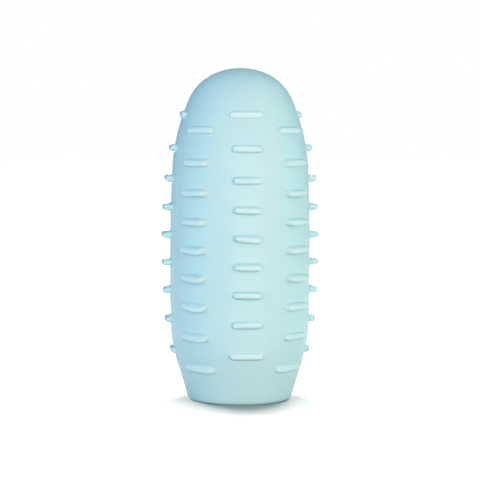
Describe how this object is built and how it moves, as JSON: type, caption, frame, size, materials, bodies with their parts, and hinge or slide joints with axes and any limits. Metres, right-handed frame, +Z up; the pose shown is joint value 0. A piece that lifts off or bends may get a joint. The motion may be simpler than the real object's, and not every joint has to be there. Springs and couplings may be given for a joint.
{
  "type": "stress ball",
  "caption": "Upright finned squeeze toy: a soft moulded barrel with a domed top that presses down and a flat foot, filled with gel.",
  "frame": {"origin": "centre of the flat foot, on the surface that it stands on", "axes": "+Z up along the barrel's axis, towards the domed top; -Y is the side that faces the viewer, along a column of fins"},
  "size_m": [0.0524, 0.0524, 0.1096],
  "materials": {
    "skin": "satin",
    "gel": "gloss",
    "plug": "matte"
  },
  "bodies": {
    "barrel": {"skin_body": "skin", "gel_filling": "gel", "fill_plug": "plug"},
    "crown": {"skin_crown": "skin"}
  },
  "joints": [
    {"name": "crown_press", "type": "slide", "parent": "barrel", "child": "crown", "axis": [0, 0, -1], "range_m": [0, 0.015], "stiffness_N_per_m": 2000, "deforming": ["skin_body", "gel_filling"]}
  ]
}
